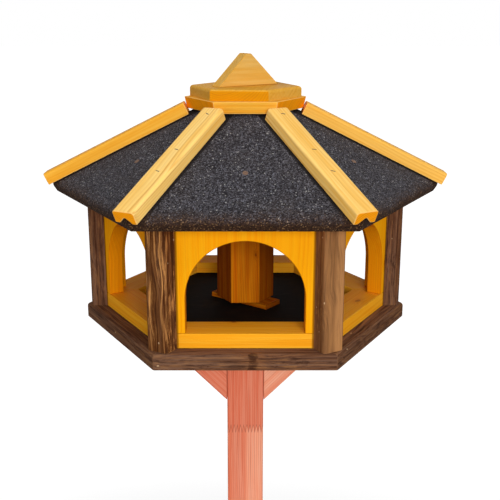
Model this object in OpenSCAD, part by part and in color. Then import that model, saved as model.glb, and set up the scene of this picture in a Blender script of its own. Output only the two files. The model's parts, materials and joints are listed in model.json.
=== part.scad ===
// Hexagonal garden bird feeder on a post.
// A ring of six mitred boards carries a thin floor, six arched walls and a felted roof.
// A six-sided seed silo runs down through the roof and is filled under a loose lid.
// The stand is one square post with two struts under the feeder and a cross foot.
// Origin: middle of the cross foot, on the ground. +Z is up and -Y is the front wall.

/* [Floor ring] */
// Middle of the feeder to a corner of the floor ring
ring_r = 195; // [175:1:230]
// Thickness of the ring boards
ring_h = 18; // [15:1:24]
// Width of the ring boards
ring_w = 70; // [66:1:80]
// Rounding of the ring's top edge
ring_round = 4; // [1:0.5:6]
// Thickness of the floor sheet
floor_t = 3; // [3:0.5:8]

/* [Walls] */
// Step from the face of the ring back to the face of the walls
wall_step = 17; // [14:1:22]
// Thickness of the walls
wall_t = 18; // [12:1:22]
// Height of the sills
sill_h = 17; // [12:1:25]
// Depth of the sills
sill_d = 38; // [30:1:42]
// Width of an arched opening
arch_w = 127; // [80:1:130]
// Height of an arched opening above its sill
arch_h = 102; // [75:1:104]
// Width of the corner battens
post_w = 26; // [22:1:32]
// Height of a corner batten's face over the corner of the walls
post_out = 12; // [8:1:16]

/* [Roof] */
// Height of the eaves' lower edge above the underside of the ring
eave_h = 160; // [150:1:185]
// Middle of the feeder to a corner of the roof boards' lower edge
eave_r = 221; // [212:1:260]
// Slope of the six roof faces
pitch = 30; // [26:1:34]
// Thickness of the roof boards
deck_t = 10; // [8:1:15]
// Thickness of the roofing felt
felt_t = 3; // [2:0.5:4]
// Rounding of the felted eaves
eave_round = 7; // [5:0.5:8]
// Width of the hip battens
hip_w = 26; // [22:1:32]
// Thickness of the hip battens
hip_t = 14.5; // [12:0.5:20]
// Length that a hip batten runs on past the eaves
hip_over = 12; // [0:1:20]
// Width of the right-angled groove under a hip batten
groove_w = 15; // [11:0.5:18]

/* [Silo and lid] */
// Middle to a corner of the silo
silo_r = 34.5; // [30:0.5:38]
// Thickness of the silo staves
silo_t = 8; // [6:0.5:10]
// Length, width and height of the batten under the silo
silo_foot = [85, 28, 6];
// Turn of that batten
silo_foot_turn = -38; // [-90:1:90]
// Middle to a corner of the collar
collar_r = 70.5; // [64:0.5:80]
// Thickness of the collar
collar_t = 13.5; // [10:0.5:18]
// How far in from its edge the collar rests on the felt
collar_in = 10.5; // [6:0.5:14]
// Middle to a corner of the lid plate
lid_r = 65; // [55:0.5:72]
// Thickness of the lid plate
lid_t = 12.5; // [9:0.5:16]
// Rounding of the lid plate's top edge
lid_round = 4; // [1:0.5:6]
// Turn of the lid on its collar
lid_turn = -7; // [-20:1:20]
// Length, thickness and height of the three-cornered handle
handle = [82, 16, 36];
// Length of the flat top of the handle
handle_top = 6; // [3:1:16]
// Turn of the handle
handle_turn = 34; // [-60:1:60]

/* [Stand] */
// Height of the ring's underside above the ground
stand_h = 1130; // [600:10:1600]
// Width of the post, the struts and the foot beams
timber = 45; // [38:1:70]
// Rounding of the timber's long edges
timber_round = 2; // [1:0.5:4]
// Reach of a strut out from the face of the post
strut_reach = 104; // [80:1:150]
// Length of the two foot beams
foot_l = 620; // [450:10:900]

/* [Hidden] */
$fn = 48;
// Gap between pieces that are put together
fit = 0.2;
// Side extrusions and cutters start out at least this long
reach = 700;
ring_a = ring_r * cos(30);
ring_in_a = ring_a - ring_w;
wall_a = ring_a - wall_step;
wall_r = wall_a / cos(30);
floor_a = wall_a - sill_d - 2 * fit;
floor_top = ring_h + floor_t;
sill_top = ring_h + sill_h;
post_r = wall_r + post_out;
post_round = 4;
eave_a = eave_r * cos(30);
// Slope of the hips, and how far a roof face falls away across a hip batten
hip_pitch = atan(tan(pitch) * cos(30));
hip_fall = asin(sin(pitch) * sin(30));
// Heights above the ring's underside where the roof planes meet over the middle
deck_apex = eave_h + eave_a * tan(pitch);
felt_apex = deck_apex + (deck_t + felt_t) / cos(pitch);
deck_len = eave_a / cos(pitch);
silo_a = silo_r * cos(30);
silo_bottom = floor_top + silo_foot.z;
collar_a = collar_r * cos(30);
collar_bevel = 2.6;
collar_lip = 0.6;
roof_hole_a = collar_a - collar_in;
collar_bottom = felt_apex - roof_hole_a * tan(pitch) + fit;
collar_top = collar_bottom + collar_t;
// The lid lies on the collar with a hair's breadth of air
lid_bottom = collar_top + 0.1;
lid_top = lid_bottom + lid_t;
groove_tip = 2.5;
hip_drop = groove_w / 2 * tan(hip_fall);
hip_round = 3.5;
// Distance down the hip from the middle to a batten's upper end, at the collar's corner
hip_start = ((collar_a - collar_bevel) / cos(30) + fit) * cos(hip_pitch)
    + (felt_apex - collar_bottom) * sin(hip_pitch);
bearer_w = 70;

pine = "#e9a63c";
honey = "#f0b04a";
walnut = "#5b3a26";
black = "#1d1b1c";
salmon = "#c9755a";

// Puts children made for the front on side number n, counted anticlockwise from the front.
module on_side(n) {
    rotate([0, 0, 60 * (n - 1)]) children();
}

// Puts children made for the front on the corner that follows side number n.
module on_corner(n) {
    rotate([0, 0, 60 * (n - 1) + 30]) children();
}

// Lifts children from heights above the ring's underside to heights above the ground.
module up_to_feeder() {
    translate([0, 0, stand_h]) children();
}

// Upright six-sided prism with flats at front and back.
module hex_prism(apothem, bottom, top) {
    translate([0, 0, bottom])
        linear_extrude(top - bottom) circle(r = apothem / cos(30), $fn = 6);
}

// Runs a section along the front side: x is the distance out and y the height.
module along_front() {
    rotate([90, 0, -90]) linear_extrude(reach, center = true) children();
}

// Everything that belongs to the front side between the mitre planes of its two corners.
module front_sector() {
    linear_extrude(4 * reach, center = true)
        polygon([[0, 0], [-reach * tan(30), -reach], [reach * tan(30), -reach]]);
}

// Rectangle from [0, 0] to size whose far top corner is rounded.
module bullnose(size, radius) {
    square([size.x - radius, size.y]);
    square([size.x, size.y - radius]);
    translate(size - [radius, radius]) circle(r = radius);
}

// Rectangle about the y axis from height low to high, with the two top corners rounded.
module batten_section(width, low, high, radius) {
    intersection() {
        translate([-width, low]) bullnose([1.5 * width, high - low], radius);
        translate([width, low]) mirror([1, 0]) bullnose([1.5 * width, high - low], radius);
    }
}

// Square timber about the z axis with rounded long edges.
module timber_bar(length) {
    core = timber - 2 * timber_round;
    linear_extrude(length, center = true) {
        square([timber, core], center = true);
        square([core, timber], center = true);
        for (x = [-1, 1], y = [-1, 1])
            translate([x, y] * core / 2) circle(r = timber_round);
    }
}

module base_beam(n) {
    color(walnut) up_to_feeder() on_side(n) intersection() {
        along_front()
            translate([ring_in_a, 0]) bullnose([ring_w, ring_h], ring_round);
        front_sector();
    }
}

// Thin dark sheet inside the sills, on the inner edge of the ring.
module floor_sheet() {
    color(black) up_to_feeder() hex_prism(floor_a, ring_h, floor_top);
}

// Board across the ring under the floor, where the post and struts are screwed on.
module floor_bearer() {
    color(walnut) up_to_feeder() intersection() {
        hex_prism(ring_in_a - fit, 0, ring_h);
        translate([-reach / 2, -bearer_w / 2, -1]) cube([reach, bearer_w, ring_h + 2]);
    }
}

// Six flat battens, mitred at the corners and cut back a saw's width from each other.
module sills() {
    color(honey) up_to_feeder() for (n = [1:6])
        on_side(n) intersection() {
            along_front()
                translate([wall_a - sill_d, ring_h]) square([sill_d, sill_h]);
            translate([0, -fit]) front_sector();
        }
}

// Arched board: it stands on the sill and its top edge is bevelled to the roof.
module wall(n) {
    color(pine) up_to_feeder() on_side(n) difference() {
        intersection() {
            along_front() wall_section();
            front_sector();
        }
        arch_cut();
    }
}

// Section of a wall: outer face at wall_a, top edge under the roof boards.
module wall_section() {
    inner = wall_a - wall_t;
    polygon([
        [inner, sill_top],
        [wall_a, sill_top],
        [wall_a, roof_under(wall_a)],
        [inner, roof_under(inner)],
    ]);
}

// Height of the roof boards' underside at a distance out from the middle of a side.
function roof_under(distance) = deck_apex - distance * tan(pitch);

// Round-headed opening through the front wall, from its sill up.
module arch_cut() {
    spring = arch_h - arch_w / 2;
    translate([0, -wall_a + 2 * wall_t, sill_top]) rotate([90, 0, 0])
        linear_extrude(3 * wall_t) {
            translate([0, spring]) circle(r = arch_w / 2, $fn = 96);
            translate([-arch_w / 2, -1]) square([arch_w, spring + 1]);
        }
}

// Batten with a vee in its back that covers the joint between two walls.
module corner_post(n) {
    color(walnut) up_to_feeder() on_corner(n) difference() {
        linear_extrude(deck_apex)
            rotate(180) batten_section(post_w, wall_r - post_w, post_r, post_round);
        rotate([0, 0, 30]) hex_prism(wall_a + fit, -1, deck_apex + 1);
        translate([0, 0, -1]) linear_extrude(ring_h + 1) square(reach, center = true);
        post_top_cut();
    }
}

// Takes away what stands above the roof boards' underside at the front corner.
module post_top_cut() {
    for (side = [-30, 30])
        rotate([0, 0, side]) translate([0, 0, deck_apex]) rotate([pitch, 0, 0])
            translate([-reach, -2 * reach, 0]) cube([2 * reach, 2 * reach, reach]);
}

// Children made in the plane of the front roof face: -y runs down it, z stands off it.
module on_front_slope() {
    translate([0, 0, deck_apex]) rotate([pitch, 0, 0]) children();
}

module roof_board(n) {
    color(pine) up_to_feeder() on_side(n) difference() {
        intersection() {
            on_front_slope() along_front()
                bullnose([deck_len, deck_t], eave_round - felt_t);
            front_sector();
        }
        roof_hole();
    }
}

// Six-sided hole at the top of the roof, which the collar covers.
module roof_hole() {
    hex_prism(roof_hole_a, 0, 2 * deck_apex);
}

// One sheet on each board, turned down round the eaves; the hip battens cover the joints.
module roof_felt() {
    color(black) up_to_feeder() difference() {
        for (n = [1:6])
            on_side(n) intersection() {
                on_front_slope() along_front() difference() {
                    bullnose([deck_len + felt_t, deck_t + felt_t], eave_round);
                    translate([-1, -1])
                        bullnose([deck_len + 1, deck_t + 1], eave_round - felt_t);
                }
                translate([0, -fit]) front_sector();
            }
        roof_hole();
    }
}

// Right-angled groove up from the x axis, with a rounded bottom.
module groove() {
    half = groove_w / 2;
    flank = groove_tip / sqrt(2);
    centre = half - groove_tip * sqrt(2);
    translate([0, centre]) circle(r = groove_tip);
    polygon([
        [-half - 1, -1],
        [half + 1, -1],
        [flank, centre + flank],
        [-flank, centre + flank],
    ]);
}

// Batten over a hip, grooved underneath for the ridge. It starts at a corner of the collar.
module hip_batten(n) {
    length = eave_r / cos(hip_pitch) + hip_over - hip_start;
    color(honey) up_to_feeder() on_corner(n)
        translate([0, 0, felt_apex]) rotate([hip_pitch + 90, 0, 0])
            translate([0, -hip_drop, hip_start]) linear_extrude(length)
                difference() {
                    batten_section(hip_w, 0, hip_t, hip_round);
                    groove();
                }
}

// Six-sided plate round the silo's mouth, narrower underneath.
module collar() {
    color(honey) up_to_feeder() difference() {
        hex_prism(collar_a, collar_bottom, collar_top);
        for (n = [1:6])
            on_side(n) along_front()
                polygon([
                    [collar_a - collar_bevel, collar_bottom],
                    [collar_a, collar_top - collar_lip],
                    [collar_a + 5, collar_top - collar_lip],
                    [collar_a + 5, collar_bottom - 1],
                    [collar_a - collar_bevel, collar_bottom - 1],
                ]);
        hex_prism(silo_a + fit, collar_bottom - 1, collar_top + 1);
    }
}

// Six staves glued up into a tube.
module silo() {
    color(pine) up_to_feeder() difference() {
        hex_prism(silo_a, silo_bottom, collar_top);
        hex_prism(silo_a - silo_t, silo_bottom - 1, collar_top + 1);
    }
}

// Flat batten that keeps the silo off the floor, so that seed runs out beside it.
module silo_foot_batten() {
    color(pine) up_to_feeder() rotate([0, 0, silo_foot_turn])
        translate([-silo_foot.x / 2, -silo_foot.y / 2, floor_top]) cube(silo_foot);
}

// Loose six-sided plate with rounded top edges.
module lid_plate() {
    lid_a = lid_r * cos(30);
    color(honey) up_to_feeder() rotate([0, 0, lid_turn]) difference() {
        hex_prism(lid_a, lid_bottom, lid_top);
        for (n = [1:6])
            on_side(n) along_front()
                translate([lid_a - lid_round, lid_top - lid_round]) difference() {
                    square(2 * lid_round);
                    circle(r = lid_round);
                }
    }
}

// Upright three-cornered grip on the lid.
module lid_handle() {
    color(honey) up_to_feeder() rotate([0, 0, handle_turn])
        translate([0, handle.y / 2, lid_top]) rotate([90, 0, 0])
            linear_extrude(handle.y)
                polygon([
                    [-handle.x / 2, 0],
                    [handle.x / 2, 0],
                    [handle_top / 2, handle.z],
                    [-handle_top / 2, handle.z],
                ]);
}

// Square post from the cross foot to the bearer.
module stand_post() {
    color(salmon) translate([0, 0, (timber + stand_h) / 2]) timber_bar(stand_h - timber);
}

// Strut at 45 degrees from the +x face of the post up to level z = 0.
module strut() {
    intersection() {
        translate([timber / 2 + strut_reach, 0, 0]) rotate([0, 45, 0])
            translate([-timber / 2, 0, 0]) timber_bar(reach);
        translate([timber / 2 + fit, -timber, -reach]) cube([reach, 2 * timber, reach]);
    }
}

module strut_left() {
    color(salmon) up_to_feeder() mirror([1, 0, 0]) strut();
}

module strut_right() {
    color(salmon) up_to_feeder() strut();
}

// Foot beam along x on the ground; the other beam laps over it in the middle.
module foot_beam_long() {
    color(salmon) difference() {
        translate([0, 0, timber / 2]) rotate([0, 90, 0]) timber_bar(foot_l);
        translate([0, 0, timber]) cube([timber + 2 * fit, 2 * timber, timber], center = true);
    }
}

module foot_beam_cross() {
    color(salmon) difference() {
        translate([0, 0, timber / 2]) rotate([90, 0, 0]) timber_bar(foot_l);
        cube([2 * timber, timber + 2 * fit, timber], center = true);
    }
}

// Four struts between the post and the foot beams, a strut turned over for each side.
module foot_struts() {
    color(salmon) translate([0, 0, timber])
        for (turn = [0:90:270])
            rotate([0, 0, turn]) mirror([0, 0, 1]) strut();
}

base_beam(1);  // base_beam_1
base_beam(2);  // base_beam_2
base_beam(3);  // base_beam_3
base_beam(4);  // base_beam_4
base_beam(5);  // base_beam_5
base_beam(6);  // base_beam_6
floor_sheet();
floor_bearer();
sills();
wall(1);  // wall_1
wall(2);  // wall_2
wall(3);  // wall_3
wall(4);  // wall_4
wall(5);  // wall_5
wall(6);  // wall_6
corner_post(1);  // corner_post_1
corner_post(2);  // corner_post_2
corner_post(3);  // corner_post_3
corner_post(4);  // corner_post_4
corner_post(5);  // corner_post_5
corner_post(6);  // corner_post_6
roof_board(1);  // roof_board_1
roof_board(2);  // roof_board_2
roof_board(3);  // roof_board_3
roof_board(4);  // roof_board_4
roof_board(5);  // roof_board_5
roof_board(6);  // roof_board_6
roof_felt();
hip_batten(1);  // hip_batten_1
hip_batten(2);  // hip_batten_2
hip_batten(3);  // hip_batten_3
hip_batten(4);  // hip_batten_4
hip_batten(5);  // hip_batten_5
hip_batten(6);  // hip_batten_6
collar();
silo();
silo_foot_batten();
lid_plate();
lid_handle();
stand_post();
strut_left();
strut_right();
foot_beam_long();
foot_beam_cross();
foot_struts();
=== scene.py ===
# %% [markdown]
# # Hexagonal garden bird feeder on a post
# The frame holds every board of the feeder in its place, in metres, with the origin on the
# ground under the post, +Z up and the front wall towards -Y. This lesson keeps those shapes.
# It breaks their sharp edges, gives them wood, stain and roofing felt, adds the nails, and
# sets up a plain studio.

# %% Load the frame
import json
import math
import random

import bmesh
import bpy
from mathutils import Matrix, Vector
from mathutils.bvhtree import BVHTree


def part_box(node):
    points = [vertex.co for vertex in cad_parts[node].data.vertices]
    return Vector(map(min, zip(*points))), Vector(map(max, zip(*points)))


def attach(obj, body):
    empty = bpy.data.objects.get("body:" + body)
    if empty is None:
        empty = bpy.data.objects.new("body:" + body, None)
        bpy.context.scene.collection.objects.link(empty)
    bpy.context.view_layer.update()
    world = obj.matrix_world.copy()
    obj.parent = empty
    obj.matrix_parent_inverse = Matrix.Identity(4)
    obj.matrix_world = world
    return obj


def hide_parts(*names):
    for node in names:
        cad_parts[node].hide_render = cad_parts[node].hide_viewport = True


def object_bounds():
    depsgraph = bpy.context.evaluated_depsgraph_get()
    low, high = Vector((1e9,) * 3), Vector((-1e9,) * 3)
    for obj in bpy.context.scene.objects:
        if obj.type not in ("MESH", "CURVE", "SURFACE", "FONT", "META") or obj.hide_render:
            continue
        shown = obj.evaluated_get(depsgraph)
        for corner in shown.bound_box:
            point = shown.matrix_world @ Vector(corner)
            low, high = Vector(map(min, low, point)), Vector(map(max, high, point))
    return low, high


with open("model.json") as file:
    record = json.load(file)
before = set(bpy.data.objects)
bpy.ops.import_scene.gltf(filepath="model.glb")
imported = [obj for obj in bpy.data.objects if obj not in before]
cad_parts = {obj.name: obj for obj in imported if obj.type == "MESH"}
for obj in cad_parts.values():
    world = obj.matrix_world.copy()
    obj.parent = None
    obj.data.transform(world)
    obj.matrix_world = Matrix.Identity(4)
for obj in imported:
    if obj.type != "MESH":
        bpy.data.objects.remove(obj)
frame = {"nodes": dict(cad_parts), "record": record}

cad_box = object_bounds()
record = frame["record"]
slot_of = {part["node"]: part["material_slot"] for part in record["subparts"]}
body_of = {node: body for body, nodes in record["behaviour"]["bodies"].items() for node in nodes}

# %% [markdown]
# ## A short way to write materials
# Every finish here is worked out by nodes. A small class keeps them readable: each call adds
# a node or two and gives back a socket, so that a recipe reads like a sum. A number that is
# the same all over a surface is set on the shader itself.


# %% The recipe helper
class Recipe:
    """A material whose nodes are written as calls that give back a socket."""

    def __init__(self, name):
        self.material = bpy.data.materials.new(name)
        self.material.use_nodes = True
        self.tree = self.material.node_tree
        self.tree.nodes.clear()
        output = self.tree.nodes.new("ShaderNodeOutputMaterial")
        self.shader = self.tree.nodes.new("ShaderNodeBsdfPrincipled")
        self.tree.links.new(self.shader.outputs["BSDF"], output.inputs["Surface"])

    def put(self, value, socket):
        """Links a socket, or sets a plain number, vector or colour."""
        if isinstance(value, bpy.types.NodeSocket):
            self.tree.links.new(value, socket)
        elif socket.type == "RGBA":
            socket.default_value = (*value, 1.0)
        else:
            socket.default_value = value

    def node(self, kind, inputs, output=0, **settings):
        node = self.tree.nodes.new(kind)
        for setting, value in settings.items():
            setattr(node, setting, value)
        for socket, value in inputs.items():
            self.put(value, node.inputs[socket])
        return node.outputs[output]

    def place(self):
        return self.node("ShaderNodeTexCoord", {}, "Object")

    def attribute(self, name, output="Vector"):
        return self.node("ShaderNodeAttribute", {}, output, attribute_name=name)

    def calc(self, operation, *values):
        return self.node("ShaderNodeMath", dict(enumerate(values)), operation=operation)

    def vector(self, operation, a, b, output=0):
        return self.node("ShaderNodeVectorMath", {0: a, 1: b}, output, operation=operation)

    def split(self, vector):
        parts = self.tree.nodes.new("ShaderNodeSeparateXYZ")
        self.put(vector, parts.inputs[0])
        return parts.outputs

    def fade(self, value, start, end):
        """0 before start and 1 after end, eased in between; start may be the larger one."""
        inputs = {"Value": value, "From Min": start, "From Max": end}
        return self.node("ShaderNodeMapRange", inputs, interpolation_type="SMOOTHSTEP")

    def blend(self, factor, a, b):
        """Colour a where factor is 0 and colour b where it is 1."""
        return self.node("ShaderNodeMix", {0: factor, 6: a, 7: b}, 2, data_type="RGBA")

    def touch(self, colour, mask, share, other):
        """Lays a share of another colour over this one where the mask is 1."""
        return self.blend(self.calc("MULTIPLY", mask, share), colour, other)

    def deepen(self, colour, power):
        """A power above 1 makes a colour darker and richer, as more stain does."""
        return self.node("ShaderNodeGamma", {"Color": colour, "Gamma": power})

    def stretched(self, vector, stretch):
        """Coordinates that fit so many cells of a pattern into a metre along each axis."""
        return self.vector("MULTIPLY", vector, stretch)

    def noise(self, vector, scale, detail=2.0, roughness=0.5):
        inputs = {"Vector": vector, "Scale": scale, "Detail": detail, "Roughness": roughness}
        return self.node("ShaderNodeTexNoise", inputs, "Fac")

    def cells(self, vector, scale, output="Distance", dimensions="3D"):
        inputs = {"Vector": vector, "Scale": scale}
        return self.node("ShaderNodeTexVoronoi", inputs, output, voronoi_dimensions=dimensions)

    def bump(self, height, distance, strength=1.0):
        inputs = {"Height": height, "Distance": distance, "Strength": strength}
        self.put(self.node("ShaderNodeBump", inputs), self.shader.inputs["Normal"])

    def finish(self, colour, roughness, **constants):
        self.put(colour, self.shader.inputs["Base Color"])
        self.put(roughness, self.shader.inputs["Roughness"])
        for name, value in constants.items():
            self.shader.inputs[name.replace("_", " ")].default_value = value
        return self.material


# %% [markdown]
# ## Pine, as it grows
# A pine board is a slice of a tree, and its pattern on all six faces comes from the same
# growth rings. So the recipe works on coordinates that run along the grain (x), across the
# board (y) and through it (z), in metres, which each timber carries as an attribute. The
# distance from the x axis gives the rings, a stretched noise gives the fine fibres, and cells
# that are scattered over the board give the knots. Where a branch grew there is a knot, and
# a cell's own random numbers say whether it has one and how large it is. A knot's size is in
# parts of a cell.

# %% Knots
KNOT_CELLS = (9.0, 17.0, 0.0)
SMALLEST_KNOT = 0.016
KNOT_SPREAD = 0.026
KNOT_RAGGEDNESS = 1.6


def knots_in(recipe, grain, knot_share, knot_growth):
    """Gives (knots, halo): each knot, and the wider patch that its fibres swerve in."""
    knot_place = recipe.stretched(grain, KNOT_CELLS)
    distance = recipe.cells(knot_place, 1.0, dimensions="2D")
    lot = recipe.split(recipe.cells(knot_place, 1.0, "Color", "2D"))
    has_knot = recipe.calc("LESS_THAN", lot[0], knot_share)
    size = recipe.calc("MULTIPLY_ADD", lot[1], KNOT_SPREAD * knot_growth, SMALLEST_KNOT)
    rough_edge = recipe.noise(recipe.stretched(grain, (160.0, 300.0, 300.0)), 1.0)
    near = recipe.calc("DIVIDE", distance, size)
    ragged = recipe.calc("SUBTRACT", rough_edge, 0.5)
    near = recipe.calc("MULTIPLY_ADD", ragged, KNOT_RAGGEDNESS, near)
    knots = recipe.calc("MULTIPLY", has_knot, recipe.fade(near, 1.4, 0.7))
    halo = recipe.calc("MULTIPLY", has_knot, recipe.fade(near, 4.5, 0.8))
    return knots, halo


# %% [markdown]
# ## Growth rings and fibres
# A ring is soft pale early wood that ends in a thin band of hard late wood. Its position is
# the distance from the pith divided by the ring's width, so the whole number says which year
# it is and the fraction says how far into the year. Some years make a stronger band. The
# trunk tapers, so the rings drift slowly along the board, and they swell out round a knot.

# %% Growth rings and fibres
RING_WIDTH = 0.0026
CROOKEDNESS = 0.016
SWELL_AT_KNOT = 0.004
TAPER = 0.012


def pine(recipe, grain, knot_share, knot_growth):
    """Gives (rings, fibres, knots, halo, tone), each from 0 to 1."""
    knots, halo = knots_in(recipe, grain, knot_share, knot_growth)
    crooked = recipe.noise(recipe.stretched(grain, (4.0, 16.0, 16.0)), 1.0, 2.0)
    flat = recipe.stretched(grain, (0.0, 1.0, 1.0))
    radius = recipe.vector("LENGTH", flat, (0.0, 0.0, 0.0), "Value")
    radius = recipe.calc("MULTIPLY_ADD", crooked, CROOKEDNESS, radius)
    radius = recipe.calc("MULTIPLY_ADD", halo, SWELL_AT_KNOT, radius)
    radius = recipe.calc("MULTIPLY_ADD", recipe.split(grain)[0], TAPER, radius)
    count = recipe.calc("DIVIDE", radius, RING_WIDTH)
    phase = recipe.calc("FRACT", count)
    late_wood = recipe.calc("MULTIPLY", recipe.fade(phase, 0.2, 0.85),
                            recipe.fade(phase, 1.0, 0.88))
    year = recipe.node("ShaderNodeTexWhiteNoise", {"W": recipe.calc("FLOOR", count)},
                       "Value", noise_dimensions="1D")
    rings = recipe.calc("MULTIPLY", late_wood, recipe.calc("MULTIPLY_ADD", year, 0.8, 0.2))

    fibres = recipe.noise(recipe.stretched(grain, (6.0, 330.0, 330.0)), 1.0, 4.0, 0.7)
    tone = recipe.noise(recipe.stretched(grain, (6.0, 40.0, 40.0)), 1.0, 3.0, 0.6)
    return rings, fibres, knots, halo, tone


# %% [markdown]
# ## Stains
# The feeder wears four stains: a strong yellow on the walls, a paler honey on the battens and
# lid, a walnut brown on the base and corner posts, and a red on the stand. The yellow has
# gone paler on the sills. The silo and the batten under it are painted a deep brown: painted
# shade for the dim inside under the roof.
# The honey has darkened on the lid, which hands lift. A stain keeps the pine's pattern and
# changes its colours. End grain drinks more stain, so it comes out deeper. Boards differ from
# each other, so every timber also carries a number from 0 to 1 that shifts its tone. On dark
# stain the hard late wood stays lighter than the soft early wood, so there the two colours
# change places.


# %% Stained timber
DEEPENING = 0.42
KNOT_STRENGTH = 0.65
ARRIS_STRENGTH = 0.6


def stained(recipe, grain, board, tones, knot_share, contrast, knot_growth=1.0):
    """Colours the pine by a table of tones, and gives (colour, height)."""
    rings, fibres, knots, halo, tone = pine(recipe, grain, knot_share, knot_growth)
    early = recipe.blend(board, tones["pale"], tones["deep"])
    faint = recipe.calc("MULTIPLY", recipe.fade(tone, 0.25, 0.65), contrast)
    ringed = recipe.blend(recipe.calc("MULTIPLY", rings, faint), early, tones["late"])
    cloudy = recipe.touch(ringed, recipe.fade(tone, 0.62, 0.35), 0.4, tones["deep"])
    haloed = recipe.touch(cloudy, halo, 0.4, tones["late"])
    drunk = recipe.touch(tones["end"], rings, 0.4, tones["knot"])
    end = recipe.attribute("end", "Fac")
    faced = recipe.blend(end, haloed, drunk)
    knotted = recipe.touch(faced, knots, KNOT_STRENGTH, tones["knot"])
    fibre = recipe.calc("MAXIMUM", recipe.fade(fibres, 0.36, 0.62), end)
    most = DEEPENING * contrast
    combed = recipe.deepen(knotted, recipe.calc("MULTIPLY_ADD", fibre, -most, 1.0 + most))
    # The broken edges get the arris tone: painted shade on the yellow, a painted highlight on the
    # honey, and wear with a painted highlight on the walnut.
    arris = recipe.attribute("arris", "Fac")
    colour = recipe.touch(combed, arris, ARRIS_STRENGTH, tones["arris"])
    return colour, recipe.calc("MULTIPLY_ADD", fibre, 0.8, rings)


# %% [markdown]
# ## Painted shade in the corners
# A thin brown line of painted shade lies in the corners: on the walls and sills it runs beside
# the corner posts and just above the base ring. The feeder repeats every sixty
# degrees, so folding the angle round the middle back and forth (a ping-pong) lets one sum
# serve all six corners. The roof uses the same distances for the painted shade beside its hips.

# %% Distances from a corner
SIDE = 60
# Painted shade in the corners: its colour, how strongly it is laid on, and how wide it is beside
# the posts and over the ring.
PAINTED_SHADE = (0.075, 0.020, 0.003)
PAINTED_SHADE_STRENGTH = 0.75
PAINTED_SHADE_BY_POST = (0.0022, 0.0004)
PAINTED_SHADE_OVER_RING = (0.0016, 0.0002)
FACE_SLACK = 0.0006
wall_face = -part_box("wall_1")[0].y
ring_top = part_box("base_beam_1")[1].z
post_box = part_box("corner_post_2")
half_post = (post_box[1].y - post_box[0].y) / 2


def from_corner(recipe):
    """Distance from the upright plane through the nearest corner, and out from the middle."""
    x, y, _ = recipe.split(recipe.place())
    half_side = math.radians(SIDE / 2)
    turn = recipe.calc("PINGPONG", recipe.calc("ARCTAN2", x, y), half_side)
    squares = recipe.calc("ADD", recipe.calc("MULTIPLY", x, x), recipe.calc("MULTIPLY", y, y))
    reach = recipe.calc("POWER", squares, 0.5)
    from_hip = recipe.calc("SUBTRACT", half_side, turn)
    beside = recipe.calc("MULTIPLY", reach, recipe.calc("SINE", from_hip))
    outward = recipe.calc("MULTIPLY", reach, recipe.calc("COSINE", turn))
    return beside, outward


def painted_corner_shade(recipe, colour):
    """Painted shade in the corner between a wall's outer face and the post, and along the ring."""
    beside, outward = from_corner(recipe)
    height = recipe.split(recipe.place())[2]
    by_post = recipe.fade(beside, *(half_post + width for width in PAINTED_SHADE_BY_POST))
    by_ring = recipe.fade(height, *(ring_top + rise for rise in PAINTED_SHADE_OVER_RING))
    outside = recipe.calc("GREATER_THAN", outward, wall_face - FACE_SLACK)
    shade_mask = recipe.calc("MULTIPLY", recipe.calc("MAXIMUM", by_post, by_ring), outside)
    return recipe.touch(colour, shade_mask, PAINTED_SHADE_STRENGTH, PAINTED_SHADE)


print(f"posts {2000 * half_post:.0f} mm wide, wall faces {1000 * wall_face:.0f} mm out")

# %% [markdown]
# ## The stains' colours
# Each table holds what one stain does to the parts of the wood: pale and deep are the two
# ends that the early wood ranges between from board to board, late is the late wood, end the
# end grain, arris the broken edge and knot the knot. On the broken edge the yellow carries a
# painted shade line and the honey a painted highlight. The silo's table is painted shade as a
# whole.

# %% The stains' colours
YELLOW = {
    "pale": (0.93, 0.44, 0.006),
    "deep": (0.92, 0.36, 0.003),
    "late": (0.76, 0.22, 0.002),
    "end": (0.66, 0.18, 0.002),
    # The arris here is painted shade: a dark line along every broken edge.
    "arris": (0.52, 0.14, 0.002),
    "knot": (0.40, 0.085, 0.003),
}
HONEY = {
    "pale": (1.0, 0.70, 0.25),
    "deep": (0.84, 0.42, 0.045),
    "late": (0.62, 0.25, 0.03),
    "end": (1.0, 0.35, 0.004),
    # The arris here is a painted highlight along the broken edges.
    "arris": (0.95, 0.58, 0.18),
    "knot": (0.22, 0.08, 0.02),
}
SILL = {
    "pale": (0.94, 0.475, 0.045),
    "deep": (0.90, 0.405, 0.016),
    "late": (0.70, 0.23, 0.005),
    "end": (0.72, 0.23, 0.003),
    "arris": (0.85, 0.40, 0.02),
    "knot": (0.34, 0.10, 0.01),
}
AMBER = {
    "pale": (0.70, 0.44, 0.13),
    "deep": (0.76, 0.37, 0.025),
    "late": (0.52, 0.23, 0.03),
    "end": (0.67, 0.25, 0.002),
    "arris": (0.66, 0.32, 0.04),
    "knot": (0.40, 0.10, 0.01),
}
RED = {
    "pale": (0.98, 0.47, 0.31),
    "deep": (0.79, 0.245, 0.145),
    "late": (0.58, 0.15, 0.085),
    "end": (0.60, 0.15, 0.07),
    "arris": (0.55, 0.14, 0.07),
    "knot": (0.28, 0.07, 0.04),
}
# Painted shade: the silo's colours, a deep brown for the dim inside under the roof.
SILO_SHADE_TONES = {
    "pale": (0.66, 0.21, 0.004),
    "deep": (0.22, 0.055, 0.002),
    "late": (0.24, 0.055, 0.002),
    "end": (0.30, 0.07, 0.002),
    "arris": (0.14, 0.035, 0.002),
    "knot": (0.12, 0.03, 0.003),
}

# %% [markdown]
# ## Mixing the stains
# Stain soaks in and leaves hardly any film, so its gloss is low, and the wood under it gives
# a faint relief. The three numbers of a material are the share of its cells that hold a knot,
# how strongly its rings and fibres show, and its roughness. Yellow covers the grain well, and
# red lets it through.

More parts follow.
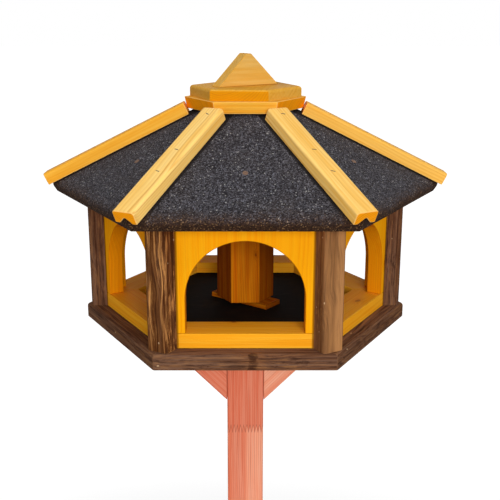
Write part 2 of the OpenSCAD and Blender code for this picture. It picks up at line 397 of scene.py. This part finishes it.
# %% Mixing the stains
STAIN_GLOSS = 0.02
WOOD_RELIEF = 0.00008


def stained_material(name, tones, knot_share, contrast, roughness, painted_shade=False):
    recipe = Recipe(name)
    board = recipe.attribute("board", "Fac")
    colour, height = stained(recipe, recipe.attribute("grain"), board, tones, knot_share, contrast)
    # Painted shade in the corners of the walls and sills.
    if painted_shade:
        colour = painted_corner_shade(recipe, colour)
    recipe.bump(height, WOOD_RELIEF)
    return recipe.finish(colour, roughness, Specular_IOR_Level=STAIN_GLOSS)


# The yellow and sill stains get painted shade in their corners.
materials = {
    "yellow_stained_pine": stained_material("yellow_stain", YELLOW, 0.9, 0.45, 0.5, painted_shade=True),
    "honey_stained_pine": stained_material("honey_stain", HONEY, 0.4, 0.6, 0.45),
    "red_stained_pine": stained_material("red_stain", RED, 0.15, 0.7, 0.55),
}
sill_stain = stained_material("sill_stain", SILL, 0.35, 0.6, 0.5, painted_shade=True)
# The silo's stain is painted shade, a deep brown for the dim inside.
silo_stain_painted_shade = stained_material("silo_stain_painted_shade", SILO_SHADE_TONES, 0.3, 0.7, 0.6)
lid_stain = stained_material("lid_stain", AMBER, 0.3, 0.35, 0.5)
print("stains:", ", ".join(materials))

# %% [markdown]
# ## Walnut stain on rough-planed pine
# The dark timbers have the strongest grain. The stain sinks into the early wood and is wiped
# off the late wood, which shows as tan streaks. A few small chips have been knocked out of
# the stain and show bare wood. The board number also says how far a timber has worn: near 0
# the stain is whole, in the middle it is rubbed thin, and near 1 the grain stands open.

# %% The walnut stain
WALNUT = {
    "pale": (0.168, 0.092, 0.061),
    "deep": (0.120, 0.044, 0.014),
    "late": (0.27, 0.120, 0.052),
    "end": (0.028, 0.011, 0.006),
    # The arris here is wear and a painted highlight: the broken edges come out lighter.
    "arris": (0.22, 0.105, 0.055),
    "knot": (0.035, 0.013, 0.008),
}
WIPED = (0.66, 0.30, 0.090)
WORN = (0.47, 0.22, 0.080)
BARE_WOOD = (0.62, 0.40, 0.22)
SWAY = 0.04
PLANED_ROUGHLY = 0.0006


def rubbed_thin(recipe, grain, colour, worn_board):
    """The stain rubbed thin in broad stripes, on the boards that are worn at all."""
    broad = recipe.noise(recipe.stretched(grain, (1.5, 60.0, 60.0)), 1.0, 1.0)
    worn = recipe.calc("MULTIPLY_ADD", recipe.fade(broad, 0.42, 0.58), 0.75, 0.10)
    return recipe.blend(recipe.calc("MULTIPLY", worn, worn_board), colour, WORN)


def chips_in(recipe, grain):
    """Small spots, in a few areas only, where the stain has been knocked off."""
    spots = recipe.cells(recipe.stretched(grain, (70.0, 110.0, 110.0)), 1.0)
    knocked = recipe.noise(recipe.stretched(grain, (6.0, 12.0, 12.0)), 1.0)
    return recipe.calc("MULTIPLY", recipe.fade(spots, 0.115, 0.075),
                       recipe.fade(knocked, 0.47, 0.51))


def walnut_material():
    recipe = Recipe("walnut_stain")
    grain = recipe.attribute("grain")
    board = recipe.attribute("board", "Fac")
    colour, _ = stained(recipe, grain, board, WALNUT, 0.5, 0.7, 2.0)
    worn_board = recipe.calc("MULTIPLY", recipe.fade(board, 0.35, 0.55),
                             recipe.fade(board, 0.95, 0.7))
    lighter = rubbed_thin(recipe, grain, colour, worn_board)

    sway = recipe.noise(recipe.stretched(grain, (7.0, 20.0, 20.0)), 1.0, 2.0)
    aside = recipe.node("ShaderNodeCombineXYZ", {1: recipe.calc("MULTIPLY", sway, SWAY)})
    swaying = recipe.vector("ADD", grain, aside)
    lines = recipe.noise(recipe.stretched(swaying, (16.0, 420.0, 420.0)), 1.0, 6.0, 0.72)
    patches = recipe.noise(recipe.stretched(swaying, (6.0, 50.0, 50.0)), 1.0)
    open_grain = recipe.calc("MULTIPLY", recipe.fade(patches, 0.30, 0.50),
                             recipe.fade(board, 0.6, 1.0))
    wiped = recipe.calc("MULTIPLY", recipe.fade(lines, 0.50, 0.62),
                        recipe.calc("MULTIPLY_ADD", open_grain, 0.75, 0.15))
    streaked = recipe.blend(wiped, lighter, WIPED)
    depth = recipe.calc("MULTIPLY_ADD", worn_board, -0.35, 0.70)
    sunk = recipe.calc("MULTIPLY", recipe.fade(lines, 0.48, 0.38), depth)
    darker = recipe.blend(sunk, streaked, WALNUT["end"])
    chips = chips_in(recipe, grain)
    bare = recipe.touch(darker, chips, 0.8, BARE_WOOD)
    recipe.bump(recipe.calc("SUBTRACT", lines, chips), PLANED_ROUGHLY)
    return recipe.finish(bare, 0.6, Specular_IOR_Level=STAIN_GLOSS)


materials["dark_stained_pine"] = walnut_material()
print("walnut stain mixed")

# %% [markdown]
# ## Planed timber
# The frame's boards have perfectly sharp edges, and no planed board does. Each one is copied,
# its triangles are joined into flat faces again, and the arrises are broken with a small
# bevel, as a few strokes of sandpaper would. Weighted normals keep the flats flat beside the
# rounded edges. The bevel also says which faces are new, so that their colour can differ
# there: a painted shade line on the yellow, a painted highlight on the honey, and wear with a
# painted highlight on the walnut.

# %% Break the edges
ARRIS = 0.0008
SHARP = math.radians(25)
SAME_PLACE = 1e-5
SAME_PLANE = math.radians(0.5)


def flat_faced(node):
    """A node's shape with its triangles joined into flat faces."""
    shape = bmesh.new()
    shape.from_mesh(frame["nodes"][node].data)
    bmesh.ops.remove_doubles(shape, verts=shape.verts, dist=SAME_PLACE)
    bmesh.ops.dissolve_limit(
        shape, angle_limit=SAME_PLANE, verts=shape.verts, edges=shape.edges)
    return shape


def break_edges(shape):
    """Bevels the sharp edges and gives back the new faces."""
    sharp = [edge for edge in shape.edges if edge.calc_face_angle(0.0) > SHARP]
    broken = bmesh.ops.bevel(
        shape, geom=sharp, offset=ARRIS, offset_type="OFFSET", affect="EDGES",
        segments=2, profile=0.5, material=-1, clamp_overlap=True)
    return set(broken["faces"])


def object_from(shape, name):
    """Turns a finished shape into a smooth object whose flat faces stay flat."""
    mesh = bpy.data.meshes.new(name)
    shape.to_mesh(mesh)
    shape.free()
    mesh.shade_smooth()
    piece = bpy.data.objects.new(name, mesh)
    bpy.context.scene.collection.objects.link(piece)
    piece.modifiers.new("flat_flats", "WEIGHTED_NORMAL")
    return piece


print(f"arrises broken by {1000 * ARRIS:.1f} mm")

# %% [markdown]
# ## Grain written on the corners of the faces
# Each corner of each face is told where it lies in the tree. A timber gets its own place in
# the trunk, chosen by its name, so that no two boards look alike and each looks the same in
# every run. A face whose normal points along the grain is end grain.

# %% Write the grain
PITH_NEAR = 0.018
PITH_FAR = 0.050
EDGE_NORMAL = 0.5
END_NORMAL = 0.8


def shift_for(name):
    """A place in the tree for one timber, always the same for the same name."""
    luck = random.Random(name)
    pith = [luck.choice((-1, 1)) * luck.uniform(PITH_NEAR, PITH_FAR) for _ in range(2)]
    return Vector((luck.uniform(1.0, 4.0), *pith)), luck.random()


def write_grain(mesh, node, grain_of, part_of, tone, sawn, arrises):
    grain_layer = mesh.loops.layers.float_vector.new("grain")
    board_layer = mesh.loops.layers.float.new("board")
    end_layer = mesh.loops.layers.float.new("end")
    arris_layer = mesh.loops.layers.float.new("arris")
    parts = {}
    for face in mesh.faces:
        parts.setdefault(part_of(face.calc_center_median()), []).append(face)
    for part, faces in parts.items():
        along, across = grain_of(part)
        axes = Matrix((along, across, along.cross(across)))
        middle = sum((face.calc_center_median() for face in faces), Vector()) / len(faces)
        shift, luck = shift_for(f"{node} {part}")
        board = tone[0] + (tone[1] - tone[0]) * luck if len(tone) == 2 else tone[part]
        for face in faces:
            is_edge = abs(face.normal.dot(axes[2])) < EDGE_NORMAL
            end = 1.0 if abs(face.normal.dot(along)) > END_NORMAL else sawn * is_edge
            for loop in face.loops:
                loop[grain_layer] = axes @ (loop.vert.co - middle) + shift
                loop[board_layer] = board
                loop[end_layer] = end
                loop[arris_layer] = float(face in arrises)


def planed(node, grain_of, part_of=lambda point: 0, tone=(0.0, 1.0), sawn=0.0):
    """A softened copy of a node. grain_of gives (along, across) for a part of the node.

    tone is the range that the board number may take, or one number for each part. sawn says
    how much like end grain the cut edges of the board look.
    """
    shape = flat_faced(node)
    arrises = break_edges(shape)
    write_grain(shape, node, grain_of, part_of, tone, sawn, arrises)
    piece = object_from(shape, node + "_planed")
    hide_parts(node)
    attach(piece, body_of[node])
    return piece


print("walls, for one, are planed from", len(frame["nodes"]["wall_1"].data.polygons), "triangles")

# %% [markdown]
# ## Which way the grain runs
# Base boards, sills and roof boards run along their side of the hexagon. The wall boards and
# corner posts stand upright. Battens run down the hips: a hip is where two roof faces meet,
# so its direction is the cross product of their normals. The slope itself is read from the
# felt by looking straight down on it.

# %% Directions on the hexagon
RIGHT = Vector((1, 0, 0))
OUT = Vector((0, -1, 0))
UP = Vector((0, 0, 1))


def turned(degrees, vector):
    return Matrix.Rotation(math.radians(degrees), 3, "Z") @ vector


def look_down(node, x, y):
    """The point and normal that a plumb line at x, y meets first on a node."""
    mesh = frame["nodes"][node].data
    corners = [vertex.co for vertex in mesh.vertices]
    tree = BVHTree.FromPolygons(corners, [face.vertices for face in mesh.polygons])
    point, normal, _, _ = tree.ray_cast(Vector((x, y, cad_box[1].z + 1.0)), -UP)
    return point, normal


felt_reach = -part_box("roof_felt")[0].y
on_slope = Vector((0.02, -0.6 * felt_reach))
slope_normal = look_down("roof_felt", *on_slope)[1]
slope_down = RIGHT.cross(slope_normal)
hip_down = turned(SIDE, slope_normal).cross(slope_normal)
hip_down = hip_down * (-1 if hip_down.z > 0 else 1)
hip_down = turned(-SIDE / 2, hip_down).normalized()
print(f"pitch {math.degrees(slope_normal.angle(UP)):.1f} degrees, hip_down {hip_down}")

# %% [markdown]
# ## The feeder's boards
# Six of each kind stand round the middle, so a loop turns the front one's directions by
# sixty degrees at a time. The sills are one node with six timbers, and the silo is a tube of
# six staves: both are told apart by the sector of the hexagon that a face lies in.

# %% Plane the feeder's boards
finished = []
SAWN_ARCH = 0.6
POST_WEAR = (0.65, 0.15, 0.9, 0.6, 0.25, 1.0)
BATTEN_TONES = (0.15, 0.7, 0.5, 0.3, 0.95, 0.05)
# The staves' tones paint shade as well: the front stave is the palest, the right one darker and the
# left one darkest, and the back ones vary.
STAVE_TONES = (0.1, 0.75, 0.5, 0.6, 0.4, 1.0)


def finish_timber(node, *how, material=None, **more):
    piece = planed(node, *how, **more)
    piece.data.materials.append(material or materials[slot_of[node]])
    finished.append(node)


def sector(point):
    """Which side of the hexagon a point belongs to, from 0 at the front to 5."""
    return round(math.degrees(math.atan2(point.x, -point.y)) / SIDE) % 6


def along_side(number):
    return turned(SIDE * number, RIGHT), turned(SIDE * number, OUT)


for side in range(6):
    level = along_side(side)
    corner = turned(SIDE * side + SIDE / 2, RIGHT)
    down = turned(SIDE * side, slope_down)
    hip = turned(SIDE * side + SIDE / 2, hip_down)
    number = side + 1
    finish_timber(f"base_beam_{number}", lambda part: level, tone=(0.0, 0.3))
    finish_timber(f"wall_{number}", lambda part: (UP, level[0]), sawn=SAWN_ARCH)
    worn = POST_WEAR[side]
    finish_timber(f"corner_post_{number}", lambda part: (UP, corner), tone=(worn, worn))
    finish_timber(f"roof_board_{number}", lambda part: (level[0], down))
    deep = BATTEN_TONES[side]
    finish_timber(f"hip_batten_{number}", lambda part: (hip, corner), tone=(deep, deep))

finish_timber("sills", along_side, sector, tone=(0.2, 0.8), material=sill_stain)
# The silo's staves get the painted shade.
finish_timber("silo", lambda part: (UP, turned(SIDE * part, RIGHT)), sector, tone=STAVE_TONES,
              material=silo_stain_painted_shade)
finish_timber("floor_bearer", lambda part: (RIGHT, OUT))
print(len(finished), "nodes planed so far")

# %% [markdown]
# ## Lid, collar and the batten under the silo
# The collar is one plate with its grain from left to right. The lid is cut from a board whose
# grain runs from front to back, so its front edge shows end grain. The turns of the loose
# pieces are read from the longest edge of each piece, so that the grain follows them.

# %% Plane the loose pieces


def longest_edge(node):
    """Direction of the longest straight edge of a node, seen from above."""
    shape = flat_faced(node)
    edge = max(shape.edges, key=lambda edge: edge.calc_length())
    way = edge.verts[1].co - edge.verts[0].co
    shape.free()
    way.z = 0.0
    return way.normalized() * (-1 if way.x < 0 else 1)


finish_timber("collar", lambda part: (RIGHT, OUT), tone=(0.9, 1.0))
lid_side = longest_edge("lid_plate")
lid_turn = (math.degrees(math.atan2(lid_side.y, lid_side.x)) + SIDE / 2) % SIDE - SIDE / 2
finish_timber("lid_plate", lambda part: (turned(lid_turn, OUT), turned(lid_turn, RIGHT)),
              tone=(0.55, 0.65), material=lid_stain)
handle_way = longest_edge("lid_handle")
finish_timber("lid_handle", lambda part: (handle_way, UP), tone=(0.0, 0.1), material=lid_stain)
foot_way = longest_edge("silo_foot_batten")
# The batten under the silo gets the silo's painted shade too.
finish_timber("silo_foot_batten", lambda part: (foot_way, turned(90, foot_way)), tone=(0.2, 0.3),
              material=silo_stain_painted_shade)
print(f"lid turned {lid_turn:.0f} degrees")

# %% [markdown]
# ## The stand
# The struts run at 45 degrees, so their grain does too. The four struts of the foot are one
# node, told apart by the quarter that they lie in.

# %% Plane the stand


def quarter(point):
    return round(math.degrees(math.atan2(point.x, -point.y)) / 90) % 4


def strut_grain(outward, rise):
    along = (outward + rise * UP).normalized()
    return along, outward.cross(UP)


finish_timber("strut_right", lambda part: strut_grain(RIGHT, 1), tone=(0.05, 0.1))
finish_timber("strut_left", lambda part: strut_grain(-RIGHT, 1), tone=(1.0, 1.0))
finish_timber("foot_beam_long", lambda part: (RIGHT, OUT))
finish_timber("foot_beam_cross", lambda part: (OUT, RIGHT))
finish_timber("foot_struts", lambda part: strut_grain(turned(90 * part, OUT), -1), quarter)
print(len(finished), "nodes planed so far")

# %% [markdown]
# ## The finger-jointed post
# Long stand timber is often glued up from two shorter ones with a finger joint: tapered
# fingers are milled into both ends and pushed into each other. The surface is planed flush,
# so only a zigzag glue line and a change of grain show it, and that belongs in the material.
# The height of the zigzag is a ping-pong of x. On the two other faces the joint is a straight
# line across. Each half comes from another tree, and the lower one is paler on its right.

# %% The post
JOINT_BELOW_RING = 0.1425
FINGER_PITCH = 0.0040
FINGER_LENGTH = 0.010
GLUE_LINE = (0.0019, 0.0007)
OTHER_TREE = (0.7, 0.013, -0.02)
ring_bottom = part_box("base_beam_1")[0].z


def jointed_material():
    recipe = Recipe("red_stain_jointed")
    x, _, z = recipe.split(recipe.place())
    zigzag = recipe.calc("PINGPONG", x, FINGER_PITCH / 2)
    tip = recipe.calc("MULTIPLY", zigzag, FINGER_LENGTH / (FINGER_PITCH / 2))
    joint = ring_bottom - JOINT_BELOW_RING - FINGER_LENGTH / 2
    over = recipe.calc("SUBTRACT", recipe.calc("SUBTRACT", z, joint), tip)
    upper = recipe.calc("GREATER_THAN", over, 0.0)
    line = recipe.fade(recipe.calc("ABSOLUTE", over), *GLUE_LINE)
    elsewhere = recipe.node("ShaderNodeVectorMath", {0: OTHER_TREE, "Scale": upper},
                            operation="SCALE")
    grain = recipe.vector("ADD", recipe.attribute("grain"), elsewhere)
    right_half = recipe.fade(x, -0.003, 0.004)
    lower_tone = recipe.calc("MULTIPLY_ADD", right_half, -0.62, 0.76)
    board = recipe.calc("MAXIMUM", upper, lower_tone)
    colour, height = stained(recipe, grain, board, RED, 0.15, 0.75)
    glued = recipe.touch(colour, line, 0.6, RED["knot"])
    recipe.bump(height, 1.5 * WOOD_RELIEF)
    return recipe.finish(glued, 0.6, Specular_IOR_Level=STAIN_GLOSS)


finish_timber("stand_post", lambda part: (UP, RIGHT), material=jointed_material())
print(f"finger joint {1000 * (ring_bottom - JOINT_BELOW_RING):.0f} mm above the ground")

# %% [markdown]
# ## Floor sheet
# The floor is a thin plywood sheet with a black resin film. The film is smooth, with fine
# scratches from seed and beaks and a little brown dust, so its colour and roughness vary.


# %% Black film
def dress(node, slot, material):
    """Gives a node that keeps its own shape its finish."""
    materials[slot] = material
    mesh = frame["nodes"][node].data
    mesh.materials.clear()
    mesh.materials.append(material)


def film_material():
    recipe = Recipe("black_film")
    place = recipe.place()
    scratch = recipe.noise(recipe.stretched(place, (30.0, 420.0, 1.0)), 1.0, 3.0, 0.6)
    dust = recipe.noise(place, 38.0, 4.0, 0.6)
    dusty = recipe.fade(dust, 0.5, 0.75)
    colour = recipe.blend(dusty, (0.006, 0.004, 0.003), (0.018, 0.011, 0.006))
    colour = recipe.blend(recipe.fade(scratch, 0.62, 0.75), colour, (0.022, 0.015, 0.012))
    recipe.bump(scratch, WOOD_RELIEF)
    roughness = recipe.calc("MULTIPLY_ADD", dusty, 0.1, 0.8)
    return recipe.finish(colour, roughness, Specular_IOR_Level=0.05)


dress("floor_sheet", "film_faced_plywood", film_material())
print("floor sheet dressed")

# %% [markdown]
# ## Roofing felt
# Roofing felt is a bitumen sheet strewn with mineral granules about a millimetre across:
# most are charcoal, some bluish grey, and a few are pale. Cells of that size each get their
# own tone and stand up as small domes. A dark line of painted shade runs beside the hip battens.
# Round the eaves the sheet is bent over the board and has lost granules, so the brown of the
# bitumen and dust comes through there.

# %% Mineral granules
GRANULES_PER_METRE = 950
GRANULE_HEIGHT = 0.0006
BEND_HEIGHT = 0.016
# Painted shade beside the hip battens: how far out it fades.
HIP_PAINTED_SHADE = (0.0162, 0.0142)
CHARCOAL = (0.006, 0.005, 0.007)
SLATE = (0.098, 0.092, 0.104)
BLUE_GREY = (0.130, 0.130, 0.155)
PALE = (0.36, 0.35, 0.34)
DUST = (0.060, 0.045, 0.036)
# The colour of the painted shade beside the hip battens.
HIP_SHADE_COLOUR = (0.006, 0.004, 0.003)
BITUMEN = (0.010, 0.004, 0.002)
BROWN = (0.048, 0.020, 0.009)
SAND = (0.26, 0.14, 0.06)


def granules(recipe, lot):
    """Each granule's own grey, by the three random numbers of its cell."""
    grey = recipe.blend(recipe.calc("POWER", lot[0], 2.0), CHARCOAL, SLATE)
    bluish = recipe.blend(recipe.fade(lot[1], 0.89, 0.92), grey, BLUE_GREY)
    return recipe.blend(recipe.fade(lot[2], 0.985, 0.99), bluish, PALE)


def felt_material():
    recipe = Recipe("mineral_felt")
    place = recipe.place()
    shape = recipe.cells(place, GRANULES_PER_METRE)
    lot = recipe.split(recipe.cells(place, GRANULES_PER_METRE, "Color"))
    worn = recipe.noise(place, 24.0, 4.0, 0.6)
    dusted = recipe.touch(granules(recipe, lot), recipe.fade(worn, 0.45, 0.75), 0.2, DUST)
    # Painted shade: a dark line on the felt beside each hip batten.
    beside_hip = from_corner(recipe)[0]
    painted_shade = recipe.touch(dusted, recipe.fade(beside_hip, *HIP_PAINTED_SHADE), 0.9, HIP_SHADE_COLOUR)
    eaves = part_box("roof_felt")[0].z
    ragged = recipe.calc("MULTIPLY_ADD", worn, -0.012, recipe.split(place)[2])
    bent = recipe.fade(ragged, eaves + BEND_HEIGHT, eaves - 0.002)
    tan = recipe.blend(recipe.fade(lot[2], 0.80, 0.95), BROWN, SAND)
    colour = recipe.blend(bent, painted_shade, recipe.blend(lot[0], BITUMEN, tan))
    recipe.bump(recipe.calc("SUBTRACT", 0.6, shape), GRANULE_HEIGHT, 0.9)
    return recipe.finish(colour, 0.85, Specular_IOR_Level=0.15)


dress("roof_felt", "roofing_felt", felt_material())
print("felt dressed, with", GRANULES_PER_METRE, "granules to the metre")

# %% [markdown]
# ## Nails and staples
# One clout nail holds each sheet of felt in its middle, and staples hold each hip batten. A
# clout nail has a flat round head, a little domed, gone brown with rust. Of a staple only the
# crown shows, a short bar of wire lying askew in a dent. A cone with equal ends makes a nail
# head and a long cube makes a crown. Bevelling the top edges domes them. A plumb line finds
# the surface, and each piece is turned to lie flat on it.

# %% Rust and a fastener that lies flat
NAIL_OUT = 0.138
CLOUT_RADIUS = 0.0030
CLOUT_HEIGHT = 0.0012
CROWN_SIZE = (0.0048, 0.0011, 0.0006)
CROWN_SHARES = (0.36, 0.625, 0.775)
DOME_SHARE = 0.45
MOST_ASKEW = 30


def rust_material():
    recipe = Recipe("rusty_steel")
    mottle = recipe.fade(recipe.noise(recipe.place(), 900.0, 4.0, 0.65), 0.35, 0.65)
    colour = recipe.blend(mottle, (0.085, 0.045, 0.027), (0.24, 0.14, 0.09))
    recipe.bump(mottle, 0.0001)
    return recipe.finish(colour, 0.7, Metallic=0.3)


def lying(point, normal, askew):
    """The frame of a fastener that lies flat on a surface, turned askew by some degrees."""
    flat = normal.to_track_quat("Z", "Y").to_matrix().to_4x4()
    return Matrix.Translation(point) @ flat @ Matrix.Rotation(math.radians(askew), 4, "Z")


def add_fasteners(name, places, shape_one, dome):
    """One mesh of fasteners. shape_one adds one at a frame and gives back its corners."""
    luck = random.Random(name)
    pieces = bmesh.new()
    for point, normal in places:
        here = lying(point, normal, luck.uniform(-MOST_ASKEW, MOST_ASKEW))
        corners = set(shape_one(pieces, here))
        rim = [edge for edge in pieces.edges
               if edge.verts[0] in corners and edge.calc_face_angle(0.0) > SHARP
               and all((vert.co - point).dot(normal) > 0 for vert in edge.verts)]
        bmesh.ops.bevel(pieces, geom=rim, offset=dome, affect="EDGES", segments=3,
                        profile=0.5, material=-1)
    piece = object_from(pieces, name)
    piece.data.materials.append(rust)
    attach(piece, "feeder_on_stand")


def clout_head(pieces, here):
    head = bmesh.ops.create_cone(
        pieces, cap_ends=True, segments=16, radius1=CLOUT_RADIUS, radius2=CLOUT_RADIUS,
        depth=CLOUT_HEIGHT, matrix=here)
    return head["verts"]


def staple_crown(pieces, here):
    crown = bmesh.ops.create_cube(pieces, size=1.0, matrix=here @ Matrix.Diagonal((*CROWN_SIZE, 1)))
    return crown["verts"]


rust = rust_material()
print("a clout head is", 2000 * CLOUT_RADIUS, "mm across")

# %% [markdown]
# ## Driving them in
# One nail goes into the middle of each sheet, and three staples into each batten, at set
# shares of the way out to the corner of the eaves.

# %% Drive them in
clouts = []
staples = []
corner_reach = felt_reach / math.cos(math.radians(SIDE / 2))
for side in range(6):
    spot = turned(SIDE * side, NAIL_OUT * OUT)
    clouts.append(look_down("roof_felt", spot.x, spot.y))
    for share in CROWN_SHARES:
        spot = turned(SIDE * side + SIDE / 2, share * corner_reach * OUT)
        staples.append(look_down(f"hip_batten_{side + 1}", spot.x, spot.y))
add_fasteners("felt_nails", clouts, clout_head, CLOUT_HEIGHT * DOME_SHARE)
add_fasteners("batten_staples", staples, staple_crown, CROWN_SIZE[2] * DOME_SHARE)
print(len(clouts), "clout nails,", len(staples), "staples")

# %% [markdown]
# ## Studio floor
# The floor is one plain pale plane that catches the shadow. Far away it fades into the white
# of the world, by a little light of its own that only the camera sees.

# %% Studio floor
FLOOR_SIZE = 60.0
NEAR_LIFT = 0.5
FAR_LIFT = 0.92
WHITE = (1.0, 1.0, 1.0, 1.0)


def pale_floor_material():
    """Pale, and lit up a little for the camera alone, so that it meets the white world."""
    recipe = Recipe("pale_floor")
    seen = recipe.node("ShaderNodeLightPath", {}, "Is Camera Ray")
    away = recipe.vector("LENGTH", recipe.place(), (0.0, 0.0, 0.0), "Value")
    lift = recipe.calc("MULTIPLY_ADD", recipe.fade(away, 0.6, 2.2), FAR_LIFT - NEAR_LIFT, NEAR_LIFT)
    recipe.put(recipe.calc("MULTIPLY", seen, lift), recipe.shader.inputs["Emission Strength"])
    return recipe.finish((0.5, 0.5, 0.5), 0.9, Emission_Color=WHITE)


def studio_floor():
    shape = bmesh.new()
    bmesh.ops.create_grid(shape, x_segments=1, y_segments=1, size=FLOOR_SIZE / 2)
    mesh = bpy.data.meshes.new("studio_floor")
    shape.to_mesh(mesh)
    shape.free()
    floor = bpy.data.objects.new("studio_floor", mesh)
    bpy.context.scene.collection.objects.link(floor)
    mesh.materials.append(pale_floor_material())


studio_floor()
print(f"floor {FLOOR_SIZE:.0f} m wide")

# %% [markdown]
# ## World
# The world is white for the camera and for reflections, and dimmer as a light, so that the
# background stays clean while the lamps shape the object.


# %% World
def studio_world(light_level):
    world = bpy.data.worlds.new("studio")
    bpy.context.scene.world = world
    world.use_nodes = True
    tree = world.node_tree
    tree.nodes.clear()
    output = tree.nodes.new("ShaderNodeOutputWorld")
    background = tree.nodes.new("ShaderNodeBackground")
    rays = tree.nodes.new("ShaderNodeLightPath")
    seen = rays.outputs["Is Camera Ray"]
    for name in ("Is Glossy Ray", "Is Transmission Ray"):
        either = tree.nodes.new("ShaderNodeMath")
        either.operation = "MAXIMUM"
        tree.links.new(seen, either.inputs[0])
        tree.links.new(rays.outputs[name], either.inputs[1])
        seen = either.outputs[0]
    level = tree.nodes.new("ShaderNodeMapRange")
    level.inputs["To Min"].default_value = light_level
    level.inputs["To Max"].default_value = 1.0
    tree.links.new(seen, level.inputs["Value"])
    tree.links.new(level.outputs[0], background.inputs["Strength"])
    background.inputs["Color"].default_value = WHITE
    tree.links.new(background.outputs[0], output.inputs["Surface"])


studio_world(0.23)
print("world lit")

# %% [markdown]
# ## Lamps
# A large lamp in front, a little to the right, is the key. It stands low, so that it shines in
# under the eaves. A lamp overhead lights the roof, and a weak one fills the left side.

# %% Lamps
AIM_OVER_RING = 0.1
aim = Vector((0, 0, ring_bottom + AIM_OVER_RING))


def lamp(name, place, size, watts):
    light = bpy.data.lights.new(name, "AREA")
    light.size = size
    light.energy = watts
    rig = bpy.data.objects.new(name, light)
    bpy.context.scene.collection.objects.link(rig)
    rig.location = place
    rig.rotation_euler = (aim - Vector(place)).to_track_quat("-Z", "Y").to_euler()


lamp("key_lamp", (0.6, -3.3, 1.95), 1.3, 80)
lamp("top_lamp", (0.3, -1.3, 3.4), 1.2, 24)
lamp("fill_lamp", (-2.4, -1.8, 1.9), 1.6, 9)
print("three lamps aimed at", tuple(round(part, 3) for part in aim))

# %% [markdown]
# ## Camera
# The camera stands a metre in front of the feeder and a little above the eaves, with a short
# telephoto lens, and looks down on it by about sixteen degrees.

# %% Camera
CAMERA_AWAY = 1.0303
CAMERA_UP = 0.3757
CAMERA_TILT = 74.24
LENS = 63.46
SENSOR = 36.0
SHIFT = 0.0094

camera = bpy.data.objects.new("camera", bpy.data.cameras.new("camera"))
bpy.context.scene.collection.objects.link(camera)
camera.location = (0, -CAMERA_AWAY, ring_bottom + CAMERA_UP)
camera.rotation_euler = (math.radians(CAMERA_TILT), 0, 0)
camera.data.lens = LENS
camera.data.sensor_width = SENSOR
camera.data.shift_x = SHIFT
bpy.context.scene.camera = camera
bpy.context.scene.view_settings.view_transform = "Standard"
print(f"camera {CAMERA_AWAY:.2f} m in front of the post")
